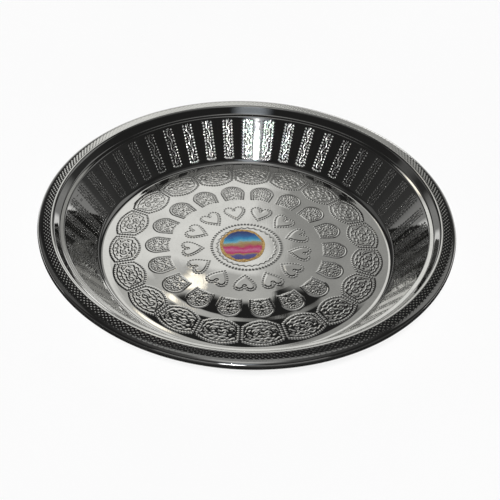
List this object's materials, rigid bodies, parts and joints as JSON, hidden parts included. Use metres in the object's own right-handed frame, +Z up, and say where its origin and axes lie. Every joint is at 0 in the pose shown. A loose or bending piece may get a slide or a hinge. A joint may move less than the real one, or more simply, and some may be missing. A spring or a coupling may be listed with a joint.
{
  "type": "steel dinner plate",
  "caption": "Round shallow pressed-steel dinner plate with embossed motifs on its floor and sloping wall, a wide rolled rim stiffened by a wire, and a small centre label.",
  "frame": {"origin": "centre of the foot ring's underside, where the plate stands", "axes": "+Z up, out of the dish; the picture looks along +Y from above, with +X to its right"},
  "size_m": [0.3046, 0.3046, 0.0359],
  "materials": {
    "polished_steel": "mirror-polished stainless sheet with fine handling marks",
    "drawn_wire": "plain drawn wire",
    "printed_film": "printed adhesive film"
  },
  "bodies": {
    "root": {"pressed_dish": "polished_steel", "rim_wire": "drawn_wire", "centre_label": "printed_film"}
  },
  "joints": []
}
